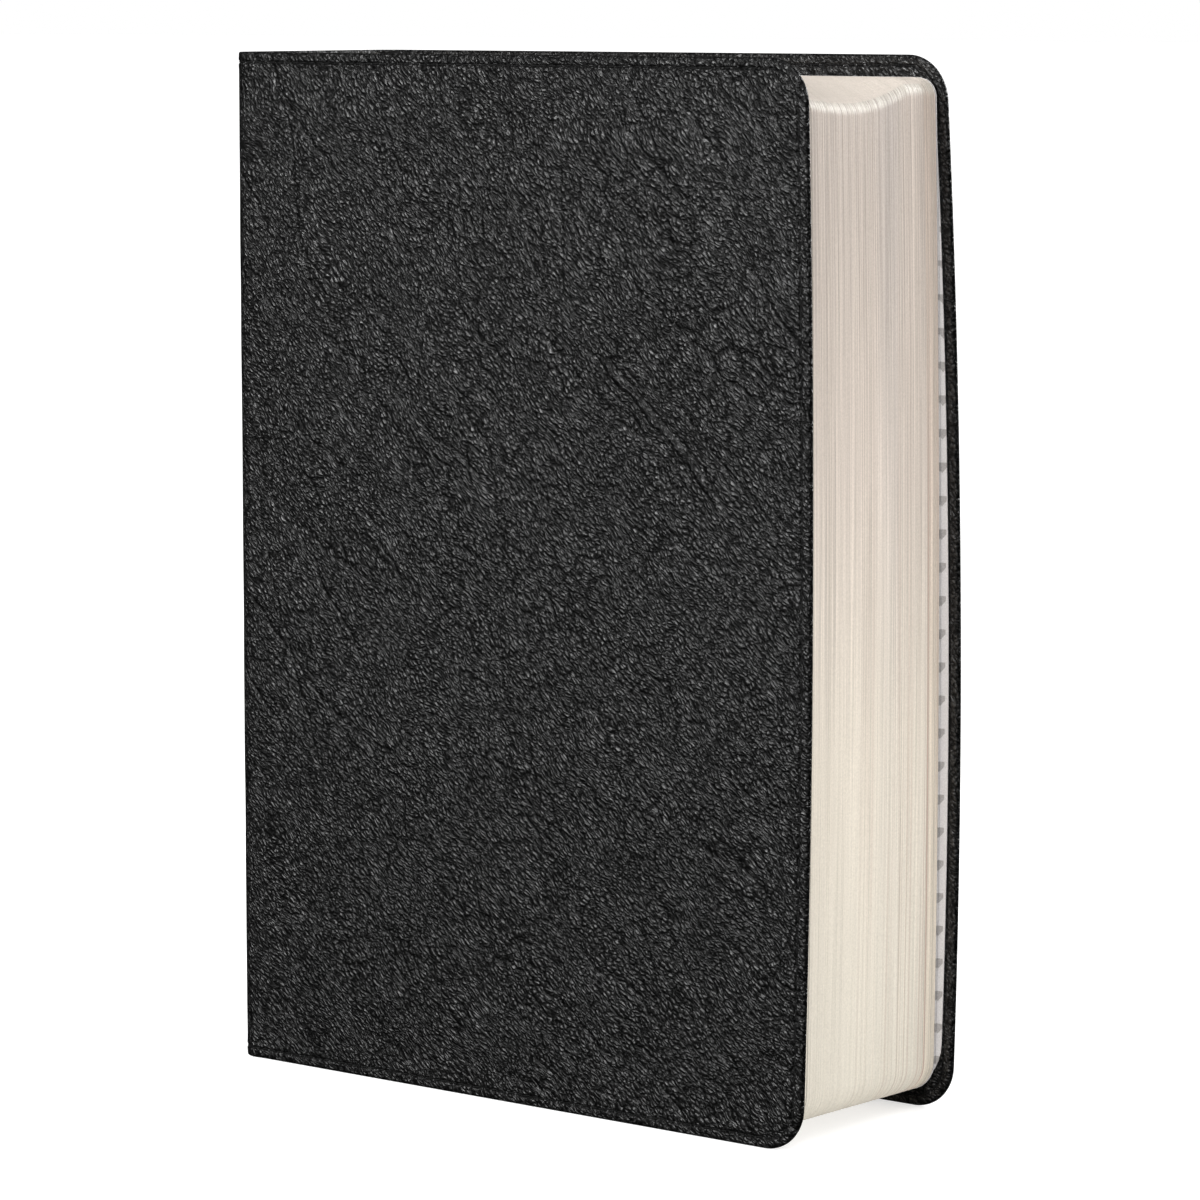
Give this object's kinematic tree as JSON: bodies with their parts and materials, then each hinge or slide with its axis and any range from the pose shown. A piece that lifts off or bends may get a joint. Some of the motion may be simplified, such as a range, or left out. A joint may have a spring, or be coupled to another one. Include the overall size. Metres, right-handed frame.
{
  "type": "bible",
  "caption": "Closed leather-bound Bible standing on its tail edge, with limp covers that open, flyleaves, turning leaves and a sewn text block.",
  "frame": {"origin": "middle of the footprint on the surface the book stands on", "axes": "+Z from tail to head, -Y out of the front cover, +Y out of the back cover, -X towards the spine, +X towards the fore-edge"},
  "size_m": [0.1694, 0.0576, 0.241],
  "materials": {
    "cover_leather": "satin",
    "stiffener_card": "matte",
    "edge_thread": "satin",
    "endpaper": "matte",
    "page_paper": "matte",
    "map_paper": "satin",
    "lining_paper": "matte",
    "mull_gauze": "matte",
    "linen_tape": "matte",
    "sewing_thread": "matte",
    "headband_cloth": "satin"
  },
  "bodies": {
    "text_block": {"back_endpaper_joint": "endpaper", "back_section_1_gutter": "map_paper", "back_section_2_gutter": "map_paper", "front_endpaper_joint": "endpaper", "front_section_1_gutter": "page_paper", "front_section_2_gutter": "page_paper", "headband": "headband_cloth", "sewing_tapes": "linen_tape", "sewing_thread": "sewing_thread", "spine_card": "stiffener_card", "spine_hollow_tube": "lining_paper", "spine_leather": "cover_leather", "spine_mull": "mull_gauze", "spine_stitching": "edge_thread", "tailband": "headband_cloth", "text_section_01": "page_paper", "text_section_02": "page_paper", "text_section_03": "page_paper", "text_section_04": "page_paper", "text_section_05": "page_paper", "text_section_06": "page_paper", "text_section_07": "page_paper", "text_section_08": "page_paper", "text_section_09": "page_paper", "text_section_10": "page_paper", "text_section_11": "page_paper", "text_section_12": "page_paper", "text_section_13": "page_paper", "text_section_14": "page_paper", "text_section_15": "page_paper", "text_section_16": "page_paper", "text_section_17": "page_paper", "text_section_18": "page_paper", "text_section_19": "page_paper", "text_section_20": "page_paper", "text_section_21": "page_paper", "text_section_22": "page_paper"},
    "front_cover": {"front_cover_leather": "cover_leather", "front_cover_card": "stiffener_card", "front_cover_stitching": "edge_thread", "front_pastedown": "endpaper"},
    "front_flyleaf_leaf": {"front_flyleaf": "endpaper"},
    "front_leaves_1": {"front_section_1_leaves": "page_paper"},
    "front_leaves_2": {"front_section_2_leaves": "page_paper"},
    "back_cover": {"back_cover_leather": "cover_leather", "back_cover_card": "stiffener_card", "back_cover_stitching": "edge_thread", "back_pastedown": "endpaper"},
    "back_flyleaf_leaf": {"back_flyleaf": "endpaper"},
    "back_leaves_1": {"back_section_1_leaves": "map_paper"},
    "back_leaves_2": {"back_section_2_leaves": "map_paper"}
  },
  "joints": [
    {"name": "front_cover_hinge", "type": "hinge", "parent": "text_block", "child": "front_cover", "pos_m": [-0.07925, -0.02875, 0.1205], "axis": [0, 0, -1], "range_deg": [0, 175]},
    {"name": "front_flyleaf_fold", "type": "hinge", "parent": "text_block", "child": "front_flyleaf_leaf", "pos_m": [-0.07225, -0.0264, 0.1205], "axis": [0, 0, -1], "range_deg": [0, 141]},
    {"name": "front_leaves_1_fold", "type": "hinge", "parent": "text_block", "child": "front_leaves_1", "pos_m": [-0.06925, -0.02498, 0.1205], "axis": [0, 0, -1], "range_deg": [0, 101]},
    {"name": "front_leaves_2_fold", "type": "hinge", "parent": "text_block", "child": "front_leaves_2", "pos_m": [-0.06575, -0.02272, 0.1205], "axis": [0, 0, -1], "range_deg": [0, 56]},
    {"name": "back_cover_hinge", "type": "hinge", "parent": "text_block", "child": "back_cover", "pos_m": [-0.07925, 0.02875, 0.1205], "axis": [0, 0, 1], "range_deg": [0, 175]},
    {"name": "back_flyleaf_fold", "type": "hinge", "parent": "text_block", "child": "back_flyleaf_leaf", "pos_m": [-0.07225, 0.0264, 0.1205], "axis": [0, 0, 1], "range_deg": [0, 141]},
    {"name": "back_leaves_1_fold", "type": "hinge", "parent": "text_block", "child": "back_leaves_1", "pos_m": [-0.06925, 0.02498, 0.1205], "axis": [0, 0, 1], "range_deg": [0, 101]},
    {"name": "back_leaves_2_fold", "type": "hinge", "parent": "text_block", "child": "back_leaves_2", "pos_m": [-0.06575, 0.02272, 0.1205], "axis": [0, 0, 1], "range_deg": [0, 56]}
  ],
  "couplings": [
    {"joint": "front_flyleaf_fold", "follows": "front_cover_hinge", "ratio": 0.8},
    {"joint": "front_leaves_1_fold", "follows": "front_cover_hinge", "ratio": 0.57143},
    {"joint": "front_leaves_2_fold", "follows": "front_cover_hinge", "ratio": 0.31429},
    {"joint": "back_flyleaf_fold", "follows": "back_cover_hinge", "ratio": 0.8},
    {"joint": "back_leaves_1_fold", "follows": "back_cover_hinge", "ratio": 0.57143},
    {"joint": "back_leaves_2_fold", "follows": "back_cover_hinge", "ratio": 0.31429}
  ]
}
